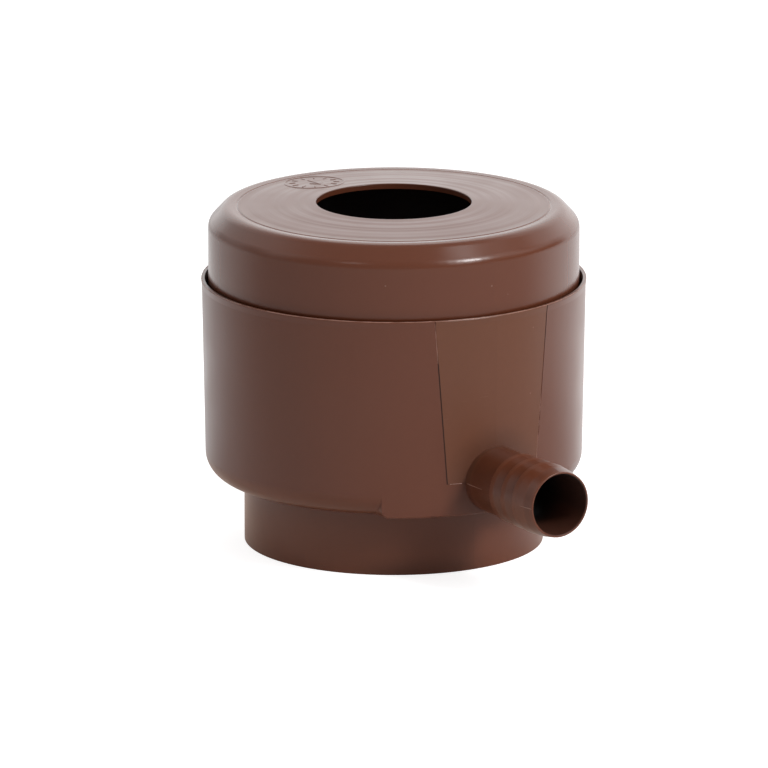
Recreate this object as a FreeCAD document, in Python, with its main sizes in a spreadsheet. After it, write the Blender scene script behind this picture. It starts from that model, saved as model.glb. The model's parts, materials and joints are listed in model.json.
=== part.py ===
import FreeCAD, Part
import math
import os

import Sketcher

# Rainwater diverter for a downpipe: a moulded housing with a hose tail, and the loose cover that rests in its rim.
# Lengths are in millimetres and angles in degrees. The origin is the centre of the spigot's lower edge, +Z is up,
# and the hose tail points along +X.

SIZES = [
    ("spigot_radius", "52.2", "outside of the lower spigot, which enters a 105 mm downpipe"),
    ("spigot_length", "23.5", "lower edge of the spigot to the underside of the shoulder"),
    ("housing_wall", "1.6", "thickness of the housing's walls and floor"),
    ("shoulder_width", "13.4", "spigot to the housing wall, measured on the shoulder's underside"),
    ("shoulder_rounding", "8.4", "radius of the rounded shoulder"),
    ("wall_draft", "1.03", "outward slope of the housing wall"),
    ("cup_height", "70.0", "underside of the shoulder to the rim"),
    ("flare_height", "2.4", "height of the slight flare under the rim"),
    ("flare_proud", "0.2", "how far the rim stands out of the wall"),
    ("rim_lead", "0.6", "width of the lead-in bevel inside the rim"),
    ("edge_rounding", "0.3", "rounding of the rim, the barbs, the mouth and the hole in the cover"),
    ("boss_half_width", "38.4", "half the width of the square-edged boss at the outlet"),
    ("boss_edge", "0.8", "rounding along the lower edge of the boss"),
    ("boss_corner", "3.0", "rounding of the two lower corners of the boss"),
    ("tail_bore_radius", "10.7", "bore of the hose tail"),
    ("tail_wall", "0.9", "thickness of the tail's plain root"),
    ("lip_wall", "0.75", "thickness of the tail at its mouth"),
    ("tail_lift", "0.1", "underside of the shoulder to the lowest line of the tail's root"),
    ("tail_root_length", "15.0", "housing wall to the first barb"),
    ("barb_count", "3", "barbs on the hose tail"),
    ("barb_pitch", "7.3", "from one barb to the next"),
    ("barb_height", "0.65", "first barb's crest above the root"),
    ("barb_rise", "0.15", "each further barb is higher by this"),
    ("barb_land", "2.4", "level top of each barb along the tail"),
    ("barb_bite", "0.7", "step at the back of each further barb"),
    ("tail_lead_length", "11.4", "last barb's crest to the mouth"),
    ("nose_length", "4.5", "length of the steeper nose at the mouth"),
    ("nose_drop", "0.75", "how far the nose falls to the mouth"),
    ("insert_top_half_width", "22.9", "half the width of the mould insert's outline at the rim"),
    ("insert_foot_half_width", "18.1", "half the width of that outline beside the tail"),
    ("insert_line_width", "0.3", "width of the line that the mould insert leaves"),
    ("insert_line_depth", "0.15", "depth of that line"),
    ("overflow_radius", "19.5", "mouth of the overflow cone"),
    ("overflow_drop", "15.2", "rim down to the mouth of the overflow cone"),
    ("outlet_reach", "4.0", "how far the tail's bore runs into the channel"),
    ("rib_count", "6", "ribs that carry the cover"),
    ("rib_width", "2.0", "thickness of a rib"),
    ("rib_depth", "3.0", "how far a rib stands into the housing at the seat"),
    ("seat_depth", "10.2", "rim down to the top of the ribs, where the cover rests"),
    ("cover_clearance", "0.5", "gap between the cover's skirt and the housing wall at the seat"),
    ("cover_wall", "1.8", "thickness of the cover's skirt"),
    ("cover_plate", "1.9", "thickness of the cover's top"),
    ("skirt_show", "19.7", "rim up to the foot of the cover's bevel"),
    ("bevel_width", "5.65", "width of the bevel in plan"),
    ("bevel_rise", "6.05", "height of the bevel"),
    ("lip_rise", "0.2", "rise of the cover's top from the ring groove out to the bevel"),
    ("crown_rise", "1.15", "height of the hole's edge above the upper edge of the bevel"),
    ("cover_rounding", "4.2", "rounding of both edges of the bevel"),
    ("groove_inset", "4.3", "upper edge of the bevel in to the ring groove in the cover's top"),
    ("groove_width", "0.7", "width of the ring groove"),
    ("groove_depth", "0.15", "depth of the ring groove"),
    ("downpipe_hole_radius", "27.0", "hole in the cover for the downpipe above"),
]
FULL_TURN = 360
HALF = 0.5
# Most of the shoulder, or of a barb's step, that its rounding may take up
SHOULDER_SHARE = 0.9
STEP_SHARE = 0.5
# How far the middle of a quarter round lies from the corner, as a share of its radius
ARC_SHARE = 1 - math.sqrt(HALF)
# Half the turn at either edge of the cover's bevel, in degrees
MITRE_ANGLE = 22.5
# How near an edge lies to the place that names it
EDGE_MATCH = 0.01

doc = FreeCAD.newDocument("RainwaterDiverter")
sheet = doc.addObject("Spreadsheet::Sheet", "Sizes")
for row, (name, value, meaning) in enumerate(SIZES, start=1):
    sheet.set(f"A{row}", meaning)
    sheet.set(f"B{row}", value)
    sheet.setAlias(f"B{row}", name)
doc.recompute()


class Size:
    """A length that keeps its number together with the sheet expression that it comes from."""

    def __init__(self, number, text):
        self.number = number
        self.text = text

    def __add__(self, other):
        return Size(self.number + other.number, f"({self.text} + {other.text})")

    def __sub__(self, other):
        return Size(self.number - other.number, f"({self.text} - {other.text})")

    def __mul__(self, other):
        if isinstance(other, Size):
            return Size(self.number * other.number, f"({self.text} * {other.text})")
        return Size(self.number * other, f"({self.text} * {other})")

    def __truediv__(self, other):
        return Size(self.number / other.number, f"({self.text} / {other.text})")

    def __neg__(self):
        return Size(-self.number, f"(0 - {self.text})")


def size(name):
    """A driving size from the sheet."""
    return Size(float(sheet.get(name)), f"Sizes.{name}")


def slope_of(angle):
    """The tangent of an angle in degrees."""
    return Size(math.tan(math.radians(angle.number)), f"tan({angle.text} * 1 deg)")


def hypotenuse_share(slope):
    """Width across a wall of unit thickness that leans by this slope."""
    return Size(math.hypot(1, slope.number), f"sqrt(1 + {slope.text} ^ 2)")


def smaller(first, second):
    """The smaller of two sizes."""
    return Size(min(first.number, second.number), f"min({first.text}; {second.text})")


ZERO = Size(0.0, "0")

# Heights and radii that several pieces share
wall = size("housing_wall")
spigot_radius = size("spigot_radius")
underside = size("spigot_length")
floor = underside + wall
rim = underside + size("cup_height")
seat = rim - size("seat_depth")
foot_radius = spigot_radius + size("shoulder_width")
draft = slope_of(size("wall_draft"))
shoulder_rounding = smaller(size("shoulder_rounding"), size("shoulder_width") * SHOULDER_SHARE)
shoulder_top = underside + shoulder_rounding
tail_root_radius = size("tail_bore_radius") + size("tail_wall")
tail_height = underside + size("tail_lift") + tail_root_radius


def wall_radius(height):
    """Outside of the housing wall at a height."""
    return foot_radius + (height - underside) * draft


def inner_radius(height):
    """Inside of the housing wall at a height."""
    return wall_radius(height) - wall


cover_radius = inner_radius(seat) - size("cover_clearance")


def origin_plane(body, role):
    """One of a body's own origin planes."""
    for feature in body.Origin.OriginFeatures:
        if feature.Role == role:
            return feature
    raise ValueError(role)


def outline(body, plane, corners):
    """A closed outline of straight runs, with each corner bound to the sheet."""
    sketch = body.newObject("Sketcher::SketchObject", body.Name + "_outline")
    sketch.AttachmentSupport = (origin_plane(body, plane), [""])
    sketch.MapMode = "FlatFace"
    points = [FreeCAD.Vector(x.number, y.number, 0) for x, y in corners]
    count = len(points)
    for index in range(count):
        sketch.addGeometry(Part.LineSegment(points[index], points[(index + 1) % count]))
    for index in range(count):
        sketch.addConstraint(Sketcher.Constraint("Coincident", index, 2, (index + 1) % count, 1))
    for index, (x, y) in enumerate(corners):
        for kind, place, axis in (("DistanceX", x, -2), ("DistanceY", y, -1)):
            if place is ZERO:
                sketch.addConstraint(Sketcher.Constraint("PointOnObject", index, 1, axis))
                continue
            number = sketch.addConstraint(Sketcher.Constraint(kind, -1, 1, index, 1, place.number))
            sketch.setExpression(f"Constraints[{number}]", place.text)
    return sketch


def turned(name, corners, axis_height=None):
    """A solid turned about the vertical axis, or about the level axis at a height."""
    body = doc.addObject("PartDesign::Body", name)
    sketch = outline(body, "XZ_Plane", corners)
    axis = "V_Axis"
    if axis_height is not None:
        sketch.setExpression("AttachmentOffset.Base.y", axis_height.text)
        axis = "H_Axis"
    turn = body.newObject("PartDesign::Revolution", name + "_turn")
    turn.Profile = sketch
    turn.ReferenceAxis = (sketch, [axis])
    turn.Angle = FULL_TURN
    doc.recompute()
    return body


def raised(name, plane, corners, length):
    """A solid raised from an origin plane."""
    body = doc.addObject("PartDesign::Body", name)
    sketch = outline(body, plane, corners)
    pad = body.newObject("PartDesign::Pad", name + "_pad")
    pad.Profile = sketch
    pad.setExpression("Length", length.text)
    doc.recompute()
    return body


def round_edges(body, radius, is_wanted):
    """Rounds the edges of a body that a test picks out."""
    base = body.Tip
    picked = [f"Edge{n}" for n, edge in enumerate(base.Shape.Edges, start=1) if is_wanted(edge)]
    fillet = body.newObject("PartDesign::Fillet", body.Name + "_rounding")
    fillet.Base = (base, picked)
    fillet.setExpression("Radius", radius.text)
    doc.recompute()


def ring_at(*places, along="z"):
    """A test for the circular edges at given radii and places along the axis that they go round."""
    def is_wanted(edge):
        if not isinstance(edge.Curve, Part.Circle):
            return False
        for radius, place in places:
            off_place = abs(getattr(edge.Curve.Center, along) - place.number)
            if abs(edge.Curve.Radius - radius.number) + off_place < EDGE_MATCH:
                return True
        return False
    return is_wanted


def lower_long_edge(half_width, height):
    """A test for the straight edges along X at a height and at either side."""
    def is_wanted(edge):
        ends = [vertex.Point for vertex in edge.Vertexes]
        return all(
            abs(end.z - height.number) + abs(abs(end.y) - half_width.number) < EDGE_MATCH for end in ends
        ) and abs(ends[0].x - ends[-1].x) > EDGE_MATCH
    return is_wanted


def combined(kind, name, first, second):
    """A cut or an intersection of two solids."""
    result = doc.addObject(kind, name)
    result.Base = first
    result.Tool = second
    result.Refine = True
    doc.recompute()
    return result


def joined(name, solids):
    """Solids fused into one."""
    result = doc.addObject("Part::MultiFuse", name)
    result.Shapes = solids
    result.Refine = True
    doc.recompute()
    return result


def make_shell():
    """Outer form of the spigot, shoulder, wall and flared rim, still solid."""
    flare_foot = rim - size("flare_height")
    rim_radius = wall_radius(rim) + size("flare_proud")
    edge = size("edge_rounding")
    mid_edge = edge * ARC_SHARE
    shell = turned("shell", [
        (ZERO, ZERO),
        (spigot_radius, ZERO),
        (spigot_radius, underside),
        (foot_radius, underside),
        (wall_radius(flare_foot), flare_foot),
        (rim_radius, rim - edge),
        (rim_radius - mid_edge, rim - mid_edge),
        (rim_radius - edge, rim),
        (ZERO, rim),
    ])
    round_edges(shell, shoulder_rounding, ring_at((foot_radius, underside)))
    return shell


def make_boss():
    """Square-edged boss that carries the wall down to the underside round the outlet."""
    inside = foot_radius - shoulder_rounding - wall
    ring = turned("boss_ring", [
        (inside, underside),
        (foot_radius, underside),
        (wall_radius(shoulder_top), shoulder_top),
        (inside, shoulder_top),
    ])
    round_edges(ring, size("boss_edge"), ring_at((foot_radius, underside)))
    half_width = size("boss_half_width")
    block = raised("boss_block", "YZ_Plane", [
        (-half_width, underside),
        (half_width, underside),
        (half_width, rim),
        (-half_width, rim),
    ], foot_radius + shoulder_rounding)
    round_edges(block, size("boss_corner"), lower_long_edge(half_width, underside))
    return combined("Part::Common", "boss", ring, block)


def make_boss_hollow():
    """Inside of the boss, one wall thickness smaller."""
    inside = foot_radius - shoulder_rounding - wall
    ring = turned("boss_hollow_ring", [
        (inside, floor),
        (inner_radius(floor), floor),
        (inner_radius(shoulder_top), shoulder_top),
        (inside, shoulder_top),
    ])
    half_width = size("boss_half_width") - wall
    block = raised("boss_hollow_block", "YZ_Plane", [
        (-half_width, underside),
        (half_width, underside),
        (half_width, rim),
        (-half_width, rim),
    ], foot_radius + shoulder_rounding)
    return combined("Part::Common", "boss_hollow", ring, block)


def make_insert_lines():
    """Shallow line round the mould insert: two sloping sides and a level foot through the tail's root."""
    half_line = size("insert_line_width") * HALF
    depth = size("insert_line_depth")
    top = size("insert_top_half_width")
    foot = size("insert_foot_half_width")
    band = raised("insert_band", "YZ_Plane", [
        (-(top + half_line), rim),
        (-(foot + half_line), tail_height - half_line),
        (foot + half_line, tail_height - half_line),
        (top + half_line, rim),
        (top - half_line, rim),
        (foot - half_line, tail_height + half_line),
        (-(foot - half_line), tail_height + half_line),
        (-(top - half_line), rim),
    ], foot_radius + shoulder_rounding)
    skin = turned("insert_skin", [
        (wall_radius(shoulder_top) - depth, shoulder_top),
        (wall_radius(shoulder_top) + wall, shoulder_top),
        (wall_radius(rim) + wall, rim),
        (wall_radius(rim) - depth, rim),
    ])
    return combined("Part::Common", "insert_lines", band, skin)


def make_tail():
    """Barbed hose tail, still solid, reaching through the housing wall."""
    first_barb = foot_radius + size("tail_root_length")
    bore_radius = size("tail_bore_radius")
    rounding = smaller(size("edge_rounding"), size("barb_bite") * STEP_SHARE)
    count = max(1, round(size("barb_count").number))
    crests = []
    corners = [
        (foot_radius - shoulder_rounding, ZERO),
        (foot_radius - shoulder_rounding, tail_root_radius),
        (first_barb, tail_root_radius),
    ]
    for index in range(count):
        place = first_barb + size("barb_pitch") * index
        crest = tail_root_radius + size("barb_height") + size("barb_rise") * index
        if index > 0:
            corners.append((place, crest - size("barb_bite")))
        corners.append((place, crest))
        corners.append((place + size("barb_land"), crest))
        crests.append((crest, place))
    mouth = first_barb + size("barb_pitch") * (count - 1) + size("tail_lead_length")
    lip_radius = bore_radius + size("lip_wall")
    corners.append((mouth - size("nose_length"), lip_radius + size("nose_drop")))
    corners.append((mouth, lip_radius))
    corners.append((mouth, ZERO))
    tail = turned("tail", corners, tail_height)
    round_edges(tail, rounding, ring_at((lip_radius, mouth), *crests, along="x"))
    bore_start = foot_radius - wall - size("outlet_reach")
    bore = turned("tail_bore", [
        (bore_start, ZERO),
        (bore_start, bore_radius),
        (mouth - rounding, bore_radius),
        (mouth, bore_radius + rounding),
        (mouth + wall, bore_radius + rounding),
        (mouth + wall, ZERO),
    ], tail_height)
    return tail, bore


def make_hollows():
    """Collecting channel above the floor, and the outlet that runs down through the overflow cone and spigot."""
    overflow_radius = size("overflow_radius")
    overflow_top = rim - size("overflow_drop")
    outlet_radius = spigot_radius - wall
    lean = (outlet_radius - overflow_radius) / (overflow_top - underside)
    across = wall * hypotenuse_share(lean)
    lead_foot = rim - size("rim_lead") - size("rim_lead")
    channel = turned("channel", [
        (ZERO, overflow_top),
        (overflow_radius + across, overflow_top),
        (outlet_radius - wall * lean + across, floor),
        (inner_radius(floor), floor),
        (inner_radius(lead_foot), lead_foot),
        (inner_radius(lead_foot) + size("rim_lead"), rim),
        (inner_radius(lead_foot) + size("rim_lead"), rim + wall),
        (ZERO, rim + wall),
    ])
    round_edges(channel, shoulder_rounding - wall, ring_at((inner_radius(floor), floor)))
    outlet = turned("outlet", [
        (ZERO, ZERO),
        (outlet_radius, ZERO),
        (outlet_radius, underside),
        (overflow_radius, overflow_top),
        (overflow_radius, overflow_top + wall),
        (ZERO, overflow_top + wall),
    ])
    return channel, outlet


def make_ribs():
    """Ribs along the housing wall whose tops are the cover's seat."""
    rib_inside = inner_radius(seat) - size("rib_depth")
    half_width = size("rib_width") * HALF
    ring = turned("rib_ring", [
        (rib_inside, underside),
        (wall_radius(rim), underside),
        (wall_radius(rim), seat),
        (rib_inside, seat),
    ])
    star = raised("rib_star", "XY_Plane", [
        (-half_width, ZERO),
        (half_width, ZERO),
        (half_width, wall_radius(rim)),
        (-half_width, wall_radius(rim)),
    ], rim)
    first_arm = star.Tip
    pattern = star.newObject("PartDesign::PolarPattern", "rib_pattern")
    pattern.Originals = [first_arm]
    pattern.Axis = (first_arm.Profile[0], ["N_Axis"])
    pattern.Angle = FULL_TURN
    pattern.setExpression("Occurrences", f"round({size('rib_count').text})")
    star.Tip = pattern
    doc.recompute()
    return combined("Part::Common", "ribs", ring, star)


def make_housing():
    """The whole housing moulding."""
    solid_shell = joined("shell_and_boss", [make_shell(), make_boss()])
    lined_shell = combined("Part::Cut", "lined_shell", solid_shell, make_insert_lines())
    tail, bore = make_tail()
    form = joined("housing_form", [lined_shell, tail])
    channel, outlet = make_hollows()
    open_channel = joined("open_channel", [channel, make_boss_hollow()])
    ribbed_channel = combined("Part::Cut", "ribbed_channel", open_channel, make_ribs())
    hollow = joined("housing_hollow", [ribbed_channel, outlet, bore])
    housing = combined("Part::Cut", "housing_cut", form, hollow)
    housing.Label = "housing"
    return housing


def make_cover():
    """The cover, made with its skirt's lower edge at zero and placed on the ribs."""
    mitre = slope_of(Size(MITRE_ANGLE, str(MITRE_ANGLE)))
    plate = size("cover_plate")
    skirt_wall = size("cover_wall")
    hole_radius = size("downpipe_hole_radius")
    bevel_foot = size("seat_depth") + size("skirt_show")
    bevel_top = bevel_foot + size("bevel_rise")
    crown = bevel_top + size("crown_rise")
    top_radius = cover_radius - size("bevel_width")
    half_groove = size("groove_width") * HALF
    groove_radius = top_radius - size("groove_inset")
    groove_edge = bevel_top - size("lip_rise")
    cover = turned("cover", [
        (cover_radius - skirt_wall, ZERO),
        (cover_radius, ZERO),
        (cover_radius, bevel_foot),
        (top_radius, bevel_top),
        (groove_radius + half_groove, groove_edge),
        (groove_radius, groove_edge - size("groove_depth")),
        (groove_radius - half_groove, groove_edge),
        (hole_radius, crown),
        (hole_radius, crown - plate),
        (top_radius - plate * mitre, bevel_top - plate),
        (cover_radius - skirt_wall, bevel_foot - skirt_wall * mitre),
    ])
    round_edges(cover, size("cover_rounding"), ring_at((cover_radius, bevel_foot), (top_radius, bevel_top)))
    round_edges(cover, size("edge_rounding"), ring_at((hole_radius, crown)))
    cover.setExpression("Placement.Base.z", seat.text)
    doc.recompute()
    return cover


pieces = [make_housing(), make_cover()]
doc.recompute()

for item in doc.Objects:
    if "Invalid" in item.State or "Error" in item.State:
        raise RuntimeError(f"{item.Label} failed: {item.State}")
for piece in pieces:
    if piece.Shape.isNull() or not piece.Shape.isValid() or len(piece.Shape.Solids) != 1:
        raise RuntimeError(f"{piece.Label} has no sound solid")

os.makedirs("parts", exist_ok=True)
for piece in pieces:
    piece.Shape.exportStep(f"parts/{piece.Label}.step")
    print(piece.Label, "volume", round(piece.Shape.Volume), "box", piece.Shape.BoundBox)
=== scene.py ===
import json
import math

import bpy
from mathutils import Matrix, Vector


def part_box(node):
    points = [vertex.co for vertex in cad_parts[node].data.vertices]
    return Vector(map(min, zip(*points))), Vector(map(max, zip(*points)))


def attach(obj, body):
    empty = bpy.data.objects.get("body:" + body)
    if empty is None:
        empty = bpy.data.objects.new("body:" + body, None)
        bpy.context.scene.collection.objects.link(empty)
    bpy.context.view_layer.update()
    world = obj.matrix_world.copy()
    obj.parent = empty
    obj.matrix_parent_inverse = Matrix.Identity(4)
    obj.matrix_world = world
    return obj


# A rainwater diverter on a white studio floor. Lengths are in metres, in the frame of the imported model:
# the origin is the centre of the spigot's lower edge, +Z is up, and the hose tail points along +X.
# A smooth step is written as a pair: it begins at the first number and is complete at the second.
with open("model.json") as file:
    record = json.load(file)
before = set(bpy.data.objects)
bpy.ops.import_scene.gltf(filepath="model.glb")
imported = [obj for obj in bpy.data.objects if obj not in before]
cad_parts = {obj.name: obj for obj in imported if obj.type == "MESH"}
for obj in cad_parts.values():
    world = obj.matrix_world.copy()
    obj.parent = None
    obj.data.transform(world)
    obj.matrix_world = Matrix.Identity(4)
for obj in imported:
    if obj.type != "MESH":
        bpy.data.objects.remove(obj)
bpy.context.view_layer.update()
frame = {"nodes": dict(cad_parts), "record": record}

MM = 0.001
AHEAD = (1.0, 0.0, 0.0)
ASIDE = (0.0, 1.0, 0.0)
UP = (0.0, 0.0, 1.0)
QUARTER_TURN = math.radians(90.0)

MOUNTS = {mount["name"]: mount for mount in frame["record"]["mounts"]}
RIM_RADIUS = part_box("housing")[1].y
RIM_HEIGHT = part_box("housing")[1].z
COVER_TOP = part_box("cover")[1].z
HOLE_RADIUS = MOUNTS["downpipe_hole"]["dims"]["r_mm"] * MM
TAIL_MOUTH, _, TAIL_HEIGHT = MOUNTS["hose_tail"]["pos_m"]

# The photograph's viewpoint
VIEW_AZIMUTH = math.radians(57.8)
VIEW_ELEVATION = math.radians(15.0)
VIEW_DISTANCE = 3.85
VIEW_END = 100.0
LENS = 515.6
SENSOR = 36.0
AIM_HEIGHT = 54.9 * MM
AIM_LEFT = 3.4 * MM

# Browns of the plastic and of its thin edges, whose pale brown is partly a painted highlight, and painted
# shade browns for creases, the bore and the unlit inside
BROWN = (0.152, 0.043, 0.0195, 1.0)
INSERT_BROWN = (0.163, 0.053, 0.0230, 1.0)
TAIL_BROWN = (0.162, 0.043, 0.017, 1.0)
PALE_BROWN = (0.40, 0.205, 0.155, 1.0)
SHADE_BROWN = (0.034, 0.010, 0.005, 1.0)
# Painted shade in the bore, where light reaches it and deep in it, and in the cover's unlit inside
BORE_SHADE_LIT = (0.088, 0.030, 0.018, 1.0)
BORE_SHADE_DEEP = (0.013, 0.011, 0.011, 1.0)
INSIDE_SHADE = (0.055, 0.051, 0.052, 1.0)
WHITE = (1.0, 1.0, 1.0, 1.0)
# The floor's painted warm bounce, which it shows in reflections close to the object
WARM_BOUNCE = (1.0, 0.82, 0.71, 1.0)

# Brightness of what surrounds the object
SWEEP_LEVEL = 1.42
RIGHT_SIDE = 1.0
LEFT_SIDE = 0.84
LEFT_HORIZON = 0.66
RIGHT_HORIZON = 0.08
ROOM_LEVEL = 0.26
CEILING_LEVEL = 0.35
DARKEST = 0.05

# Where the surroundings change: shares of a direction, and angles in degrees
SIDE_SHARES = (-0.3, 0.3)
FRONT_SHARES = (0.0, 0.5)
HORIZON_ANGLES = (2.0, 31.0)
CEILING_ANGLES = (42.0, 66.0)
SWEEP_AZIMUTH = 173.0
SWEEP_ANGLES = (52.0, 36.0)

# Soft bright and dark places: azimuth from the camera's side, elevation, angular radius, brightness
GLEAMS = (
    (75.0, 61.5, 8.5, 2.8), (55.0, 40.0, 20.0, 1.2), (47.0, 21.0, 12.0, 3.4),
    (107.0, 38.0, 14.0, -0.7), (-29.0, 38.0, 8.0, 1.8), (178.0, 50.0, 14.0, 1.4),
    (-141.0, 5.0, 20.0, -0.15), (-94.0, 4.0, 18.0, -0.3), (-103.0, 24.0, 15.0, -0.35),
)

# Brightness of the floor to the camera and in reflections, and where it changes
FLOOR_GLOW = 0.78
FLOOR_SHEEN = 0.68
FLOOR_NEAR = 0.13
PAINT_NEAR, PAINT_FAR = 0.7, 0.6
SHEEN_FAR = 0.8
RIGHT_GAIN = 1.25
LEFT_GAIN = 0.77
FLOOR_HALF = 3.0
FLOOR_BEHIND = (0.1, -0.2)
FLOOR_CLOSE = (0.17, 0.07)
FLOOR_AWAY = (0.22, 0.5)
FLOOR_WARM = (0.08, 0.03)
FLOOR_LEFT = (-0.36, -0.2)
FLOOR_RIGHT = (-0.05, 0.2)

# Noise: its mean, and how streaks of pigment are drawn out upwards
NOISE_MEAN = 0.5
STREAK_STRETCH = (1.0, 1.0, 0.35)

# Marks of handling: thin scratches that are paler and rougher, and raised specks
SCRATCH_BEND = (0.003, 0.003, 0.003)
SCRATCH_STRETCH = (160.0, 160.0, 1900.0)
SCRATCH_LINES = (0.7, 0.76)
SCRATCH_PLACES = (0.58, 0.7)
SCRATCH_PALE = 0.25
SCRATCH_ROUGH = 0.2
SPECK_SIZES = (0.075, 0.03)
SPECK_CHOICE = (0.93, 0.95)
SPECK_HEIGHT = 0.008 * MM

# Gloss of the plastic: roughness of each finish, how much duller some places are, and patches of polish
HOUSING_ROUGHNESS = 0.292
SKIRT_ROUGHNESS = 0.22
TOP_DULLER = 0.075
FLASH_ROUGHNESS = 0.3
INSERT_DULLER = 0.01
LINE_DULLER = 0.4
TAIL_DULLER = 0.02
BORE_DULLER = 0.15
WALL_DULLER = 0.18
WALL_DULL_RADII = (50.0 * MM, 20.0 * MM)
POLISH_PATCHES = (0.3, 0.7)
POLISH_LOSS, POLISH_GAIN = 0.02, 0.015
PLASTIC_IOR = 1.54

# The outline that the mould insert leaves round the tail, and the painted shade in its line
INSERT_TOP = 22.9 * MM
INSERT_FOOT = 18.1 * MM
LINE_SHADE_WIDTH = (0.26 * MM, 0.14 * MM)
LINE_SHADE_NEAR = (RIM_HEIGHT - 11.0 * MM, RIM_HEIGHT - 17.0 * MM)
LINE_SHADE_FAR = (RIM_HEIGHT - 20.0 * MM, RIM_HEIGHT - 11.0 * MM)
LINE_SHADE_FAR_SHARE = 0.75

# The turning rings' mean level, and from coarse to fine how closely they follow each other and their height
RINGS_LEVEL = -0.38 * MM
RINGS = ((150.0, 0.6 * MM), (420.0, 0.14 * MM), (1100.0, 0.02 * MM))

# The flat part of the cover's top, and the hollow under it
TOP_OUTSIDE = 54.0 * MM
TOP_FOOT = COVER_TOP - 2.2 * MM
TOP_SOFTNESS = 0.4 * MM
TOP_LIP = 1.4 * MM
TOP_LIP_RISE = 0.06 * MM
HOLLOW_RADIUS = 57.0 * MM
HOLLOW_TOP = COVER_TOP - 3.0 * MM
SKIRT_INSIDE = 63.4 * MM
SKIRT_TOP = COVER_TOP - 10.0 * MM

# Shade in the gap at the rim, on either side of it, and at the edge of the hole
GAP_RADII = (RIM_RADIUS - 0.9 * MM, RIM_RADIUS - 1.4 * MM)
GAP_HEIGHTS = (RIM_HEIGHT - 20.0 * MM, RIM_HEIGHT - 10.0 * MM)
GAP_SHADE = 0.9
SKIRT_GAP = (RIM_HEIGHT + 0.9 * MM, RIM_HEIGHT - 0.5 * MM)
SKIRT_SHADE = 0.5
HOLE_EDGE = (HOLE_RADIUS + 0.4 * MM, HOLE_RADIUS + 0.1 * MM)
HOLE_SHADE = 0.35

# The housing's front, and the hose tail's barbs, its lip and its bore
FRONT_START = 0.5 * RIM_RADIUS
TAIL_START = (RIM_RADIUS, RIM_RADIUS + 2.0 * MM)
FIRST_BARB = 80.6 * MM
LAST_BARB = 102.5 * MM
BARB_PITCH = 7.3 * MM
CREST_RADIUS = 12.6 * MM
LIP_RADIUS = 11.45 * MM
BORE_RADIUS = 10.9 * MM

# How light and shade lie in the bore, on the barbs and round the tail
BORE_DEPTHS = (TAIL_MOUTH - 12.0 * MM, TAIL_MOUTH - 26.0 * MM)
BORE_FLOOR = (0.5 * MM, -6.0 * MM)
BORE_SIDE = (3.0 * MM, 10.0 * MM)
BORE_SIDE_LIGHT = 0.6
ROOT_END = (FIRST_BARB, FIRST_BARB - 1.0 * MM)
ROOT_SHADE = 0.34
CREST_PART = (0.34, 0.2)
CREST_HIGHLIGHT = 0.07
SLOPE_PART = (0.28, 0.5)
SLOPE_SHADE = 0.22
NECK_START = (LAST_BARB - 0.3 * MM, LAST_BARB + 0.6 * MM)
NECK_END = (TAIL_MOUTH - 1.0 * MM, TAIL_MOUTH - 1.8 * MM)
NECK_SHADE = 0.2
HALO_RADII = (CREST_RADIUS + 9.0 * MM, CREST_RADIUS - 1.0 * MM)
HALO_SHADE = 0.3

# The shaded foot of the spigot under the tail
FOOT_AZIMUTH = math.radians(69.8)
FOOT_REACH = (44.0 * MM, 51.0 * MM)
FOOT_HEIGHTS = (8.0 * MM, 0.0)
FOOT_SHADE = 0.4

# Flash: how its strands are divided and sunk, and how far off they start before they are laid on a surface
STRAND_SIDES = 6
RING_STEPS = 1400
BURR_STEPS = 420
BURR_SHORTEST = 0.25
LINE_STEPS = 260
FLASH_INSET = 0.19 * MM
FLASH_SUNK = 0.04 * MM
TAIL_FLASH = (("root", 65.5 * MM, 75.0 * MM), ("mouth", 100.0 * MM, TAIL_MOUTH - 0.3 * MM))
INSERT_FLASH = {
    "near": (RIM_HEIGHT - 1.0 * MM, RIM_HEIGHT - 15.0 * MM),
    "far": (RIM_HEIGHT - 30.0 * MM, TAIL_HEIGHT + 1.0 * MM),
}
FOOT_FLASH = (INSERT_FOOT - 1.0 * MM, CREST_RADIUS + 0.3 * MM)
TAIL_START_OFF = 30.0 * MM
WALL_START_OFF = 2.0 * RIM_RADIUS
DIAL_START_OFF = 20.0 * MM
RAY_LENGTH = 200.0 * MM

# The moulder's date dial on the cover's top; its ticks and arrow are shares of its radius
DIAL_AZIMUTH = math.radians(-81.2)
DIAL_DISTANCE = 42.4 * MM
DIAL_RADIUS = 10.4 * MM
DIAL_STEPS = 96
DIAL_LINE_STEPS = 160
TICK_FROM, TICK_TO = 0.64, 0.84
ARROW_TIP = 0.4
WING_FROM, WING_SPREAD = 0.1, 0.24


def toward(azimuth, elevation):
    """Direction from the object at an azimuth, counted as the views count it, and an elevation."""
    level = math.cos(elevation)
    return Vector((math.sin(azimuth) * level, -math.cos(azimuth) * level, math.sin(elevation)))


TO_CAMERA = toward(VIEW_AZIMUTH, 0.0)
TO_RIGHT = toward(VIEW_AZIMUTH + QUARTER_TURN, 0.0)


def place(tree, kind, inputs=None, **settings):
    """Adds a node with its settings, and gives each named input a value or a link."""
    node = tree.nodes.new(kind)
    for name, value in settings.items():
        setattr(node, name, value)
    for name, value in (inputs or {}).items():
        feed(tree, node.inputs[name], value)
    return node


def feed(tree, socket, value):
    """Links a socket to another one, or sets its value."""
    if isinstance(value, bpy.types.NodeSocket):
        tree.links.new(value, socket)
    else:
        socket.default_value = value


def reckon(tree, operation, *values):
    """Arithmetic on one or two numbers; further ones are taken up in turn."""
    result = place(tree, "ShaderNodeMath", dict(enumerate(values[:2])), operation=operation).outputs["Value"]
    for value in values[2:]:
        result = reckon(tree, operation, result, value)
    return result


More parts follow.
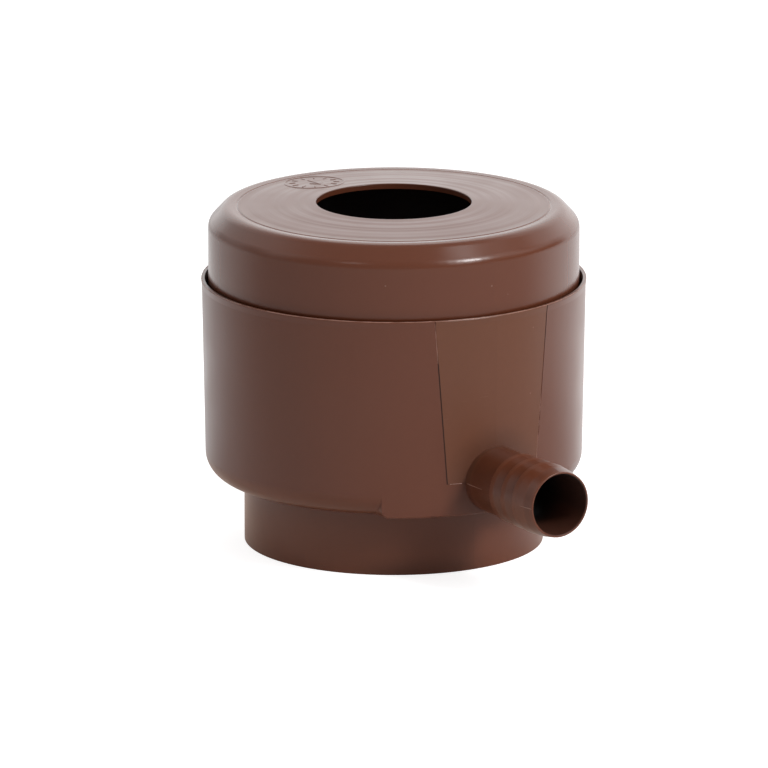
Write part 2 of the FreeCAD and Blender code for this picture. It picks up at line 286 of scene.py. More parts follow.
def ramp(tree, value, span, to_low=0.0, to_high=1.0):
    """A smooth step from one value to another as an input goes through a span."""
    node = place(tree, "ShaderNodeMapRange", {
        "Value": value, "From Min": span[0], "From Max": span[1], "To Min": to_low, "To Max": to_high,
    }, interpolation_type="SMOOTHSTEP")
    return node.outputs["Result"]


def along(tree, vector, direction):
    """How far a vector reaches along a direction."""
    node = place(tree, "ShaderNodeVectorMath", {0: vector, 1: direction}, operation="DOT_PRODUCT")
    return node.outputs["Value"]


def scaled(tree, vector, factors):
    """A vector with each of its parts multiplied."""
    node = place(tree, "ShaderNodeVectorMath", {0: vector, 1: factors}, operation="MULTIPLY")
    return node.outputs["Vector"]


def shifted(tree, vector, offset):
    """A vector with another one added."""
    node = place(tree, "ShaderNodeVectorMath", {0: vector, 1: offset}, operation="ADD")
    return node.outputs["Vector"]


def length(tree, vector):
    """The length of a vector."""
    return place(tree, "ShaderNodeVectorMath", {0: vector}, operation="LENGTH").outputs["Value"]


def combined(tree, **parts):
    """A vector made of its X, Y and Z; those not given are 0."""
    return place(tree, "ShaderNodeCombineXYZ", parts).outputs["Vector"]


def noise(tree, vector, scale, detail=2.0):
    """Smooth noise from about 0.3 to 0.7."""
    node = place(tree, "ShaderNodeTexNoise", {"Vector": vector, "Scale": scale, "Detail": detail})
    return node.outputs["Fac"]


def blend_colours(tree, factor, first, second):
    """A mix of two colours."""
    return place(tree, "ShaderNodeMix", {0: factor, 6: first, 7: second}, data_type="RGBA").outputs[2]


def mixed(tree, factor, first, second):
    """A mix of two numbers."""
    return place(tree, "ShaderNodeMix", {"Factor": factor, "A": first, "B": second}).outputs["Result"]


def new_group(name, inputs, outputs, kind="ShaderNodeTree"):
    """An empty node group with its sockets; gives the tree, the inputs and the outputs."""
    tree = bpy.data.node_groups.new(name, kind)
    for socket_name, socket_kind, value in inputs:
        socket = tree.interface.new_socket(name=socket_name, in_out="INPUT", socket_type=socket_kind)
        if value is not None:
            socket.default_value = value
    for socket_name, socket_kind in outputs:
        tree.interface.new_socket(name=socket_name, in_out="OUTPUT", socket_type=socket_kind)
    taken = tree.nodes.new("NodeGroupInput").outputs
    given = tree.nodes.new("NodeGroupOutput").inputs
    return tree, taken, given


def use_group(tree, group, **inputs):
    """Places a shader group in a material."""
    return place(tree, "ShaderNodeGroup", inputs, node_tree=group).outputs


def make_axis_group():
    """Distance from the vertical axis, and height, of a point on the object."""
    tree, taken, given = new_group("about_the_axis", [("Point", "NodeSocketVector", None)],
                                   [("Radius", "NodeSocketFloat"), ("Height", "NodeSocketFloat")])
    feed(tree, given["Radius"], length(tree, scaled(tree, taken["Point"], (1.0, 1.0, 0.0))))
    feed(tree, given["Height"], along(tree, taken["Point"], UP))
    return tree


def make_tone_group():
    """Slow drift and fine mottling of the colour that pigment in moulded plastic shows."""
    tree, taken, given = new_group("pigment_drift", [
        ("Point", "NodeSocketVector", None),
        ("Color", "NodeSocketColor", BROWN),
        ("Drift", "NodeSocketFloat", 0.14),
        ("Mottle", "NodeSocketFloat", 0.08),
    ], [("Color", "NodeSocketColor")])
    streaks = scaled(tree, taken["Point"], STREAK_STRETCH)
    broad = reckon(tree, "SUBTRACT", noise(tree, streaks, scale=26.0, detail=3.0), NOISE_MEAN)
    fine = reckon(tree, "SUBTRACT", noise(tree, taken["Point"], scale=420.0, detail=4.0), NOISE_MEAN)
    change = reckon(tree, "ADD", reckon(tree, "MULTIPLY", broad, taken["Drift"]),
                    reckon(tree, "MULTIPLY", fine, taken["Mottle"]))
    hue = place(tree, "ShaderNodeHueSaturation",
                {"Value": reckon(tree, "ADD", 1.0, change), "Color": taken["Color"]})
    feed(tree, given["Color"], hue.outputs["Color"])
    return tree


def make_grain_group():
    """Height of the grain and the slow ripple that a steel mould leaves, and patches of better polish."""
    tree, taken, given = new_group("mould_grain", [
        ("Point", "NodeSocketVector", None),
        ("Grain", "NodeSocketFloat", 0.002 * MM),
        ("Ripple", "NodeSocketFloat", 0.03 * MM),
    ], [("Height", "NodeSocketFloat"), ("Polish", "NodeSocketFloat")])
    grain = reckon(tree, "MULTIPLY", noise(tree, taken["Point"], scale=2400.0), taken["Grain"])
    ripple = reckon(tree, "MULTIPLY", noise(tree, taken["Point"], scale=90.0, detail=1.0), taken["Ripple"])
    feed(tree, given["Height"], reckon(tree, "ADD", grain, ripple))
    feed(tree, given["Polish"], noise(tree, taken["Point"], scale=60.0, detail=1.0))
    return tree


def make_wear_group():
    """Masks for hair-fine handling scratches and for pale specks of dust and chipped flash."""
    tree, taken, given = new_group("handling_wear", [
        ("Point", "NodeSocketVector", None),
        ("Scratches", "NodeSocketFloat", 1.0),
        ("Specks", "NodeSocketFloat", 1.0),
    ], [("Scratch", "NodeSocketFloat"), ("Speck", "NodeSocketFloat")])
    warp = place(tree, "ShaderNodeTexNoise", {"Vector": taken["Point"], "Scale": 30.0}).outputs["Color"]
    bent = shifted(tree, scaled(tree, warp, SCRATCH_BEND), taken["Point"])
    lines = noise(tree, scaled(tree, bent, SCRATCH_STRETCH), scale=1.0)
    places = noise(tree, taken["Point"], scale=55.0)
    scratch = reckon(tree, "MULTIPLY", ramp(tree, lines, SCRATCH_LINES), ramp(tree, places, SCRATCH_PLACES),
                     taken["Scratches"])
    feed(tree, given["Scratch"], scratch)
    cells = place(tree, "ShaderNodeTexVoronoi", {"Vector": taken["Point"], "Scale": 170.0}).outputs
    chosen = place(tree, "ShaderNodeSeparateColor", {"Color": cells["Color"]}).outputs["Red"]
    speck = reckon(tree, "MULTIPLY", ramp(tree, cells["Distance"], SPECK_SIZES),
                   ramp(tree, chosen, SPECK_CHOICE), taken["Specks"])
    feed(tree, given["Speck"], speck)
    return tree


def make_turning_group():
    """Height of the fine rings that turning left in the mould, and a mask of the surface that they cover."""
    tree, taken, given = new_group("turned_rings", [
        ("Radius", "NodeSocketFloat", 0.0),
        ("Height", "NodeSocketFloat", 0.0),
    ], [("Rings", "NodeSocketFloat"), ("Cover", "NodeSocketFloat")])
    line = combined(tree, X=taken["Radius"])
    rings = RINGS_LEVEL
    for scale, height in RINGS:
        ring = reckon(tree, "MULTIPLY", noise(tree, line, scale, detail=1.0), height)
        rings = reckon(tree, "ADD", rings, ring)
    lip = ramp(tree, taken["Radius"], (TOP_OUTSIDE - TOP_LIP, TOP_OUTSIDE), 0.0, TOP_LIP_RISE)
    feed(tree, given["Rings"], reckon(tree, "ADD", rings, lip))
    high = ramp(tree, taken["Height"], (TOP_FOOT - TOP_SOFTNESS, TOP_FOOT))
    within = ramp(tree, taken["Radius"], (TOP_OUTSIDE + TOP_SOFTNESS, TOP_OUTSIDE))
    feed(tree, given["Cover"], reckon(tree, "MULTIPLY", high, within))
    return tree


AXIS_GROUP = make_axis_group()
TONE_GROUP = make_tone_group()
GRAIN_GROUP = make_grain_group()
WEAR_GROUP = make_wear_group()
TURNING_GROUP = make_turning_group()


def start_material(name):
    """An empty material with its shader and the object's own coordinates."""
    material = bpy.data.materials.new(name)
    material.use_nodes = True
    tree = material.node_tree
    tree.nodes.clear()
    shader = place(tree, "ShaderNodeBsdfPrincipled")
    place(tree, "ShaderNodeOutputMaterial", {"Surface": shader.outputs["BSDF"]})
    point = tree.nodes.new("ShaderNodeTexCoord").outputs["Object"]
    return material, tree, shader, point


def finish_plastic(tree, shader, point, colour, height, roughness):
    """Adds grain, scratches and specks to a plastic and wires it up."""
    grain = use_group(tree, GRAIN_GROUP, Point=point)
    wear = use_group(tree, WEAR_GROUP, Point=point, Scratches=0.6, Specks=0.4)
    paler = reckon(tree, "MAXIMUM", reckon(tree, "MULTIPLY", wear["Scratch"], SCRATCH_PALE), wear["Speck"])
    feed(tree, shader.inputs["Base Color"], blend_colours(tree, paler, colour, PALE_BROWN))
    polish = ramp(tree, grain["Polish"], POLISH_PATCHES, -POLISH_GAIN, POLISH_LOSS)
    rougher = reckon(tree, "MULTIPLY", wear["Scratch"], SCRATCH_ROUGH)
    feed(tree, shader.inputs["Roughness"], reckon(tree, "ADD", roughness, polish, rougher))
    specks = reckon(tree, "MULTIPLY", wear["Speck"], SPECK_HEIGHT)
    relief = reckon(tree, "ADD", grain["Height"], specks, height)
    bump = place(tree, "ShaderNodeBump", {"Distance": 1.0, "Height": relief})
    feed(tree, shader.inputs["Normal"], bump.outputs["Normal"])
    shader.inputs["IOR"].default_value = PLASTIC_IOR


def find_on_housing(tree, point):
    """A point's distances on the housing, and masks of the front, the tail and the front wall."""
    axis = use_group(tree, AXIS_GROUP, Point=point)
    at = {"radius": axis["Radius"], "height": axis["Height"]}
    at["ahead"] = along(tree, point, AHEAD)
    at["aside"] = along(tree, point, ASIDE)
    at["above"] = reckon(tree, "SUBTRACT", at["height"], TAIL_HEIGHT)
    at["off_tail"] = length(tree, combined(tree, X=at["aside"], Y=at["above"]))
    at["front"] = reckon(tree, "GREATER_THAN", at["ahead"], FRONT_START)
    at["tail"] = ramp(tree, at["ahead"], TAIL_START)
    at["wall"] = reckon(tree, "MULTIPLY", at["front"], reckon(tree, "SUBTRACT", 1.0, at["tail"]))
    return at


def mask_insert(tree, at):
    """Masks of the mould insert's outline on the front wall, and of the painted shade in its line."""
    edge = place(tree, "ShaderNodeMapRange", {
        "Value": at["height"], "From Min": TAIL_HEIGHT, "From Max": RIM_HEIGHT,
        "To Min": INSERT_FOOT, "To Max": INSERT_TOP,
    }, clamp=False).outputs["Result"]
    off_middle = reckon(tree, "ABSOLUTE", at["aside"])
    over_tail = reckon(tree, "MULTIPLY", reckon(tree, "GREATER_THAN", at["height"], TAIL_HEIGHT), at["front"])
    insert = reckon(tree, "MULTIPLY", reckon(tree, "LESS_THAN", off_middle, edge), over_tail)
    off_line = reckon(tree, "ABSOLUTE", reckon(tree, "SUBTRACT", off_middle, edge))
    # Painted shade along the insert's line, reaching a different height on each side
    reach = mixed(tree, reckon(tree, "GREATER_THAN", at["aside"], 0.0), ramp(tree, at["height"], LINE_SHADE_NEAR),
                  ramp(tree, at["height"], LINE_SHADE_FAR, 0.0, LINE_SHADE_FAR_SHARE))
    line_shade = reckon(tree, "MULTIPLY", reach, ramp(tree, off_line, LINE_SHADE_WIDTH), over_tail)
    return insert, line_shade


def mask_bore(tree, at):
    """Masks of the tail's bore, and of the part of it that light reaches."""
    bore = reckon(tree, "MULTIPLY", reckon(tree, "LESS_THAN", at["off_tail"], BORE_RADIUS), at["tail"])
    facing = reckon(tree, "MAXIMUM", ramp(tree, at["above"], BORE_FLOOR),
                    ramp(tree, at["aside"], BORE_SIDE, 0.0, BORE_SIDE_LIGHT))
    deep = ramp(tree, at["ahead"], BORE_DEPTHS)
    return bore, reckon(tree, "MULTIPLY", facing, reckon(tree, "SUBTRACT", 1.0, deep))


def mask_barbs(tree, at):
    """Masks of a painted highlight on the barbs' crests, and of the shade on their slopes and on the neck at
    the mouth.
    """
    barbs = reckon(tree, "DIVIDE", reckon(tree, "SUBTRACT", at["ahead"], FIRST_BARB), BARB_PITCH)
    part = reckon(tree, "FRACT", barbs)
    barbed = reckon(tree, "MULTIPLY", reckon(tree, "GREATER_THAN", at["ahead"], FIRST_BARB),
                    reckon(tree, "LESS_THAN", at["ahead"], LAST_BARB))
    crest_highlight = reckon(tree, "MULTIPLY", barbed, ramp(tree, part, CREST_PART, 0.0, CREST_HIGHLIGHT))
    behind_last = reckon(tree, "LESS_THAN", at["ahead"], LAST_BARB - BARB_PITCH)
    slopes = reckon(tree, "MULTIPLY", behind_last, barbed, ramp(tree, part, SLOPE_PART, 0.0, SLOPE_SHADE))
    neck = reckon(tree, "MULTIPLY", ramp(tree, at["ahead"], NECK_START, 0.0, NECK_SHADE),
                  ramp(tree, at["ahead"], NECK_END))
    return crest_highlight, reckon(tree, "MAXIMUM", slopes, neck)


def make_housing_plastic():
    """Satin brown housing plastic: yellower in the insert's outline, dull on the tail, painted shade inside.
    """
    material, tree, shader, point = start_material("housing_plastic")
    at = find_on_housing(tree, point)
    insert, line_shade = mask_insert(tree, at)
    bore, lit = mask_bore(tree, at)
    crest_highlight, slopes = mask_barbs(tree, at)
    root = reckon(tree, "MULTIPLY", at["tail"], ramp(tree, at["ahead"], ROOT_END, 0.0, ROOT_SHADE))
    halo = reckon(tree, "MULTIPLY", at["wall"], ramp(tree, at["off_tail"], HALO_RADII, 0.0, HALO_SHADE))
    under_tail = ramp(tree, along(tree, point, toward(FOOT_AZIMUTH, 0.0)), FOOT_REACH)
    foot = reckon(tree, "MULTIPLY", under_tail, ramp(tree, at["height"], FOOT_HEIGHTS, 0.0, FOOT_SHADE))
    gap = reckon(tree, "MULTIPLY", ramp(tree, at["radius"], GAP_RADII),
                 ramp(tree, at["height"], GAP_HEIGHTS), GAP_SHADE)
    body = blend_colours(tree, at["tail"], blend_colours(tree, insert, BROWN, INSERT_BROWN), TAIL_BROWN)
    dimmed = blend_colours(tree, reckon(tree, "MAXIMUM", root, slopes, halo, foot), body, SHADE_BROWN)
    # Painted highlight: the barbs' crests are paler
    ground = blend_colours(tree, crest_highlight, dimmed, PALE_BROWN)
    tone = use_group(tree, TONE_GROUP, Point=point, Color=ground)["Color"]
    # Painted shade in the gap at the rim and along the insert's line
    shaded = blend_colours(tree, reckon(tree, "MAXIMUM", gap, line_shade), tone, SHADE_BROWN)
    # Painted shade in the bore: a dark brown where light reaches it, near black deep inside
    colour = blend_colours(tree, bore, shaded, blend_colours(tree, lit, BORE_SHADE_DEEP, BORE_SHADE_LIT))
    dull = reckon(tree, "MULTIPLY", at["wall"], ramp(tree, at["off_tail"], WALL_DULL_RADII, 0.0, WALL_DULLER))
    for zone, duller in ((line_shade, LINE_DULLER), (at["tail"], TAIL_DULLER), (bore, BORE_DULLER),
                         (insert, INSERT_DULLER)):
        dull = reckon(tree, "MAXIMUM", dull, reckon(tree, "MULTIPLY", zone, duller))
    finish_plastic(tree, shader, point, colour, 0.0, reckon(tree, "ADD", HOUSING_ROUGHNESS, dull))
    return material


def make_cover_plastic():
    """The same plastic on the cover: turning rings on its flat top, shade at the rim, painted shade inside.
    """
    material, tree, shader, point = start_material("cover_plastic")
    tone = use_group(tree, TONE_GROUP, Point=point, Drift=0.1, Mottle=0.04)["Color"]
    axis = use_group(tree, AXIS_GROUP, Point=point)
    turning = use_group(tree, TURNING_GROUP, Radius=axis["Radius"], Height=axis["Height"])
    gap = ramp(tree, axis["Height"], SKIRT_GAP, 0.0, SKIRT_SHADE)
    hole = ramp(tree, axis["Radius"], HOLE_EDGE, 0.0, HOLE_SHADE)
    colour = blend_colours(tree, reckon(tree, "MAXIMUM", hole, gap), tone, SHADE_BROWN)
    # Painted shade: the cover's hollow and the inside of its skirt are painted dark
    for radius, top in ((HOLLOW_RADIUS, HOLLOW_TOP), (SKIRT_INSIDE, SKIRT_TOP)):
        hollow = reckon(tree, "MULTIPLY", reckon(tree, "LESS_THAN", axis["Radius"], radius),
                        reckon(tree, "LESS_THAN", axis["Height"], top))
        colour = blend_colours(tree, hollow, colour, INSIDE_SHADE)
    rings = reckon(tree, "MULTIPLY", turning["Rings"], turning["Cover"])
    roughness = reckon(tree, "ADD", SKIRT_ROUGHNESS, reckon(tree, "MULTIPLY", turning["Cover"], TOP_DULLER))
    finish_plastic(tree, shader, point, colour, rings, roughness)
    return material


def make_edge_plastic():
    """Thin edges of the same plastic, where moulding left a little flash that scatters more light; its
    paleness is partly a painted highlight.
    """
    material, tree, shader, point = start_material("flash_and_highlight_plastic")
    tone = use_group(tree, TONE_GROUP, Point=point, Color=PALE_BROWN, Drift=0.6, Mottle=0.4)["Color"]
    finish_plastic(tree, shader, point, tone, 0.0, FLASH_ROUGHNESS)
    return material


def dress(node, material):
    """Gives a carried-over node its finish."""
    mesh = frame["nodes"][node].data
    mesh.materials.clear()
    mesh.materials.append(material)


def start_growth(name, sizes):
    """A geometry tree with named sizes, a material and a carrier; gives the tree, its inputs and its end."""
    inputs = [(size, "NodeSocketFloat", value) for size, value in sizes.items()]
    inputs.append(("Material", "NodeSocketMaterial", None))
    inputs.append(("Carrier", "NodeSocketObject", None))
    tree, taken, given = new_group(name, inputs, [("Geometry", "NodeSocketGeometry")], "GeometryNodeTree")
    return tree, taken, given["Geometry"]


def end_growth(tree, taken, end, geometry):
    """Ends a geometry tree in plain geometry with its material."""
    real = place(tree, "GeometryNodeRealizeInstances", {"Geometry": geometry}).outputs["Geometry"]
    smooth = place(tree, "GeometryNodeSetShadeSmooth", {"Geometry": real}).outputs["Geometry"]
    painted = place(tree, "GeometryNodeSetMaterial", {"Geometry": smooth, "Material": taken["Material"]})
    tree.links.new(painted.outputs["Geometry"], end)
    return tree


def whole(tree, number):
    """A number as an integer."""
    return place(tree, "FunctionNodeFloatToInt", {"Float": number}).outputs["Integer"]


def moved(tree, geometry, offset):
    """Geometry moved by an offset."""
    node = place(tree, "GeometryNodeSetPosition", {"Geometry": geometry, "Offset": offset})
    return node.outputs["Geometry"]


def ring_of(tree, radius, steps):
    """A level ring about the vertical axis."""
    node = place(tree, "GeometryNodeCurvePrimitiveCircle", {"Resolution": steps, "Radius": radius})
    return node.outputs["Curve"]


def line_of(tree, start, stop):
    """A straight line between two places."""
    return place(tree, "GeometryNodeCurvePrimitiveLine", {"Start": start, "End": stop}).outputs["Curve"]


def divided(tree, curve, steps):
    """A curve divided evenly into points."""
    return place(tree, "GeometryNodeResampleCurve", {"Curve": curve, "Count": steps}).outputs["Curve"]


def uneven(tree, seed, scale, span, thinnest):
    """A thickness that wanders along a piece, the same at each run."""
    point = tree.nodes.new("GeometryNodeInputPosition").outputs["Position"]
    node = place(tree, "ShaderNodeTexNoise", {"Vector": point, "W": seed, "Scale": scale, "Detail": 3.0},
                 noise_dimensions="4D")
    return ramp(tree, node.outputs["Fac"], span, thinnest)


def thread(tree, curve, radius, thickness):
    """A thin strand along a curve whose thickness varies."""
    strand = place(tree, "GeometryNodeCurveToMesh", {
        "Curve": curve, "Profile Curve": ring_of(tree, radius, STRAND_SIDES),
        "Scale": thickness, "Fill Caps": True,
    })
    return strand.outputs["Mesh"]


def make_rim_flash_tree():
    """Ragged strand of flash round the outer edge of the rim."""
    tree, taken, end = start_growth("rim_flash", {
        "Radius": 0.06, "Height": 0.09, "Thickness": 0.0001, "Seed": 3.0,
    })
    ring = moved(tree, ring_of(tree, taken["Radius"], RING_STEPS), combined(tree, Z=taken["Height"]))
    wander = uneven(tree, taken["Seed"], scale=160.0, span=(0.36, 0.58), thinnest=0.4)
    return end_growth(tree, taken, end, thread(tree, ring, taken["Thickness"], wander))


def make_rim_burr_tree():
    """Small torn bits of flash at random places on the rim."""
    tree, taken, end = start_growth("rim_burrs", {
        "Radius": 0.06, "Height": 0.09, "Length": 0.001, "Thickness": 0.0001, "Share": 0.1, "Seed": 5.0,
    })
    ring = moved(tree, ring_of(tree, taken["Radius"], BURR_STEPS), combined(tree, Z=taken["Height"]))
    points = place(tree, "GeometryNodeCurveToPoints", {"Curve": ring}, mode="EVALUATED").outputs
    seed = whole(tree, taken["Seed"])
    chosen = place(tree, "FunctionNodeRandomValue", {"Probability": taken["Share"], "Seed": seed},
                   data_type="BOOLEAN").outputs[3]
    stretch = place(tree, "FunctionNodeRandomValue", {2: BURR_SHORTEST, 3: 1.0, "Seed": seed},
                    data_type="FLOAT").outputs[1]
    size = combined(tree, X=taken["Thickness"], Y=taken["Thickness"],
                    Z=reckon(tree, "MULTIPLY", taken["Length"], stretch))
    bit = place(tree, "GeometryNodeMeshIcoSphere", {"Radius": 1.0, "Subdivisions": 2}).outputs["Mesh"]
    bits = place(tree, "GeometryNodeInstanceOnPoints", {
        "Points": points["Points"], "Selection": chosen, "Instance": bit,
        "Rotation": points["Rotation"], "Scale": size,
    })
    return end_growth(tree, taken, end, bits.outputs["Instances"])


def laid_on(tree, curve, carrier, direction, start):
    """A curve moved along a direction until it lies on the carrier's surface."""
    surface = place(tree, "GeometryNodeObjectInfo", {"Object": carrier}).outputs["Geometry"]
    point = tree.nodes.new("GeometryNodeInputPosition").outputs["Position"]
    ray = place(tree, "GeometryNodeRaycast", {
        "Target Geometry": surface, "Source Position": shifted(tree, point, start),
        "Ray Direction": direction, "Ray Length": RAY_LENGTH,
    }).outputs
    laid = place(tree, "GeometryNodeSetPosition", {
        "Geometry": curve, "Selection": ray["Is Hit"], "Position": ray["Hit Position"],
    })
    return laid.outputs["Geometry"]


def make_line_flash_tree(name, first, last, direction, start):
    """Strand of flash along a straight run, laid on the surface of a carrier."""
    tree, taken, end = start_growth(name, {"Thickness": 0.0001, "Seed": 7.0, "Low": 0.4, "High": 0.6})
    run = divided(tree, line_of(tree, first, last), LINE_STEPS)
    laid = laid_on(tree, run, taken["Carrier"], direction, start)
    wander = uneven(tree, taken["Seed"], scale=220.0, span=(taken["Low"], taken["High"]), thinnest=0.1)
    return end_growth(tree, taken, end, thread(tree, laid, taken["Thickness"], wander))


def make_dial_tree(centre):
    """Raised date dial of a mould, laid on its carrier: a ring, ticks inside it and an arrow."""
    tree, taken, end = start_growth("date_dial", {
        "Radius": 0.008, "Ticks": 12.0, "Line": 0.0003, "Sunk": 0.0001,
    })

    def spot(across, up=0.0):
        return combined(tree, X=reckon(tree, "MULTIPLY", taken["Radius"], across),
                        Y=reckon(tree, "MULTIPLY", taken["Radius"], up))

    index = tree.nodes.new("GeometryNodeInputIndex").outputs["Index"]
    angle = reckon(tree, "DIVIDE", reckon(tree, "MULTIPLY", index, math.tau), taken["Ticks"])
    ticks = place(tree, "GeometryNodeInstanceOnPoints", {
        "Points": place(tree, "GeometryNodePoints", {"Count": whole(tree, taken["Ticks"])}).outputs["Points"],
        "Instance": line_of(tree, spot(TICK_FROM), spot(TICK_TO)),
        "Rotation": combined(tree, Z=angle),
    }).outputs["Instances"]
    lines = place(tree, "GeometryNodeJoinGeometry")
    for curve in (
        ring_of(tree, taken["Radius"], DIAL_STEPS),
        place(tree, "GeometryNodeRealizeInstances", {"Geometry": ticks}).outputs["Geometry"],
        line_of(tree, spot(-ARROW_TIP), spot(ARROW_TIP)),
        line_of(tree, spot(WING_FROM, WING_SPREAD), spot(ARROW_TIP)),
        line_of(tree, spot(WING_FROM, -WING_SPREAD), spot(ARROW_TIP)),
    ):
        tree.links.new(curve, lines.inputs["Geometry"])
    fine = divided(tree, moved(tree, lines.outputs["Geometry"], centre), DIAL_LINE_STEPS)
    laid = laid_on(tree, fine, taken["Carrier"], (0.0, 0.0, -1.0), (0.0, 0.0, DIAL_START_OFF))
    sunk = moved(tree, laid, combined(tree, Z=reckon(tree, "MULTIPLY", taken["Sunk"], -1.0)))
    return end_growth(tree, taken, end, thread(tree, sunk, taken["Line"], 1.0))


def grow(name, tree, slot, place_at=None, **sizes):
    """Runs a geometry tree with its sizes and keeps the result as a plain piece on the body."""
    piece = bpy.data.objects.new(name, bpy.data.meshes.new(name))
    bpy.context.scene.collection.objects.link(piece)
    modifier = piece.modifiers.new("growth", "NODES")
    modifier.node_group = tree
    for item in tree.interface.items_tree:
        if item.in_out == "INPUT" and item.name in sizes:
            modifier[item.identifier] = sizes[item.name]
    bpy.context.view_layer.update()
    grown = bpy.data.meshes.new_from_object(piece.evaluated_get(bpy.context.evaluated_depsgraph_get()))
    piece.modifiers.remove(modifier)
    piece.data = grown
    grown.name = name
    if place_at is not None:
        grown.transform(place_at)
    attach(piece, "root")


def make_floor():
    """Pale floor, white to the camera, that keeps a soft shadow; in reflections it glows with a painted sheen
    that fades on the camera's side and a painted warm bounce near the object; its colour darkens away from
    the object as painted shade.
    """
    material = bpy.data.materials.new("studio_floor")
    material.use_nodes = True
    tree = material.node_tree
    tree.nodes.clear()
    point = tree.nodes.new("ShaderNodeTexCoord").outputs["Object"]
    path = tree.nodes.new("ShaderNodeLightPath").outputs
    mirrored = reckon(tree, "MAXIMUM", path["Is Glossy Ray"], path["Is Transmission Ray"])
    distance = length(tree, point)
    to_right = along(tree, point, TO_RIGHT)
    # Painted light in reflections: a sheen, a glow close to the object and a warm bounce tint there
    close = ramp(tree, distance, FLOOR_CLOSE)
    warm_bounce = reckon(tree, "MULTIPLY", close, mirrored, ramp(tree, to_right, FLOOR_WARM))
    tint = blend_colours(tree, warm_bounce, WHITE, WARM_BOUNCE)
    # Painted shade: the floor's colour darkens away from the object
    shade = ramp(tree, distance, FLOOR_AWAY, PAINT_NEAR, PAINT_FAR)
    paint = place(tree, "ShaderNodeBsdfDiffuse", {"Color": scaled(tree, tint, shade)})
    sheen = reckon(tree, "MULTIPLY", ramp(tree, along(tree, point, TO_CAMERA), FLOOR_BEHIND),
                   ramp(tree, to_right, FLOOR_LEFT, LEFT_GAIN, 1.0),
                   ramp(tree, to_right, FLOOR_RIGHT, 1.0, RIGHT_GAIN), FLOOR_SHEEN,
                   ramp(tree, distance, FLOOR_AWAY, 1.0, SHEEN_FAR))
    sheen = reckon(tree, "ADD", sheen, reckon(tree, "MULTIPLY", close, FLOOR_NEAR))
    strength = reckon(tree, "ADD", reckon(tree, "MULTIPLY", path["Is Camera Ray"], FLOOR_GLOW),
                      reckon(tree, "MULTIPLY", mirrored, sheen))
    glow = place(tree, "ShaderNodeEmission", {"Color": tint, "Strength": strength})
    both = place(tree, "ShaderNodeAddShader", {0: paint.outputs["BSDF"], 1: glow.outputs["Emission"]})
    place(tree, "ShaderNodeOutputMaterial", {"Surface": both.outputs["Shader"]})
    mesh = bpy.data.meshes.new("floor")
    corners = [(x * FLOOR_HALF, y * FLOOR_HALF, 0.0) for x, y in ((-1, -1), (1, -1), (1, 1), (-1, 1))]
    mesh.from_pydata(corners, [], [(0, 1, 2, 3)])
    mesh.materials.append(material)
    floor = bpy.data.objects.new("floor", mesh)
    bpy.context.scene.collection.objects.link(floor)


def make_camera():
    """Camera at the photograph's viewpoint."""
    data = bpy.data.cameras.new("camera")
    data.lens = LENS
    data.sensor_width = SENSOR
    data.clip_end = VIEW_END
    camera = bpy.data.objects.new("camera", data)
    aim = Vector((0.0, 0.0, AIM_HEIGHT)) - TO_RIGHT * AIM_LEFT
    camera.location = toward(VIEW_AZIMUTH, VIEW_ELEVATION) * VIEW_DISTANCE
    camera.rotation_mode = "QUATERNION"
    camera.rotation_quaternion = (aim - camera.location).to_track_quat("-Z", "Y")
    bpy.context.scene.collection.objects.link(camera)
    bpy.context.scene.camera = camera


def sines(angles):
    """Sines of angles in degrees."""
    return [math.sin(math.radians(angle)) for angle in angles]


def cosines(angles):
    """Cosines of angles in degrees."""
    return [math.cos(math.radians(angle)) for angle in angles]


def make_surroundings():
    """White sweep behind, bright sides above a dark horizon, a dimmer room in front and overhead."""
    world = bpy.data.worlds.new("studio")
    bpy.context.scene.world = world
    world.use_nodes = True
    tree = world.node_tree
    tree.nodes.clear()
    direction = tree.nodes.new("ShaderNodeTexCoord").outputs["Generated"]
    height = along(tree, direction, UP)
    to_right = along(tree, direction, TO_RIGHT)
    horizon = ramp(tree, to_right, SIDE_SHARES, LEFT_HORIZON, RIGHT_HORIZON)
    aloft = ramp(tree, to_right, SIDE_SHARES, LEFT_SIDE, RIGHT_SIDE)
    side = ramp(tree, height, sines(HORIZON_ANGLES), horizon, aloft)
    front = ramp(tree, along(tree, direction, TO_CAMERA), FRONT_SHARES)
    to_sweep = toward(VIEW_AZIMUTH + math.radians(SWEEP_AZIMUTH), 0.0)
    back = ramp(tree, along(tree, direction, to_sweep), cosines(SWEEP_ANGLES))
    level = mixed(tree, front, side, ROOM_LEVEL)
    level = mixed(tree, back, level, SWEEP_LEVEL)
    level = mixed(tree, ramp(tree, height, sines(CEILING_ANGLES)), level, CEILING_LEVEL)
    for azimuth, elevation, radius, gain in GLEAMS:
        way = toward(VIEW_AZIMUTH + math.radians(azimuth), math.radians(elevation))
        spot = ramp(tree, along(tree, direction, way), cosines((radius, 0.0)), 0.0, gain)
        level = reckon(tree, "ADD", level, spot)
    path = tree.nodes.new("ShaderNodeLightPath").outputs
    level = reckon(tree, "MAXIMUM", level, DARKEST, path["Is Camera Ray"], path["Is Transmission Ray"])
    background = place(tree, "ShaderNodeBackground", {"Color": WHITE, "Strength": level})
    place(tree, "ShaderNodeOutputWorld", {"Surface": background.outputs["Background"]})


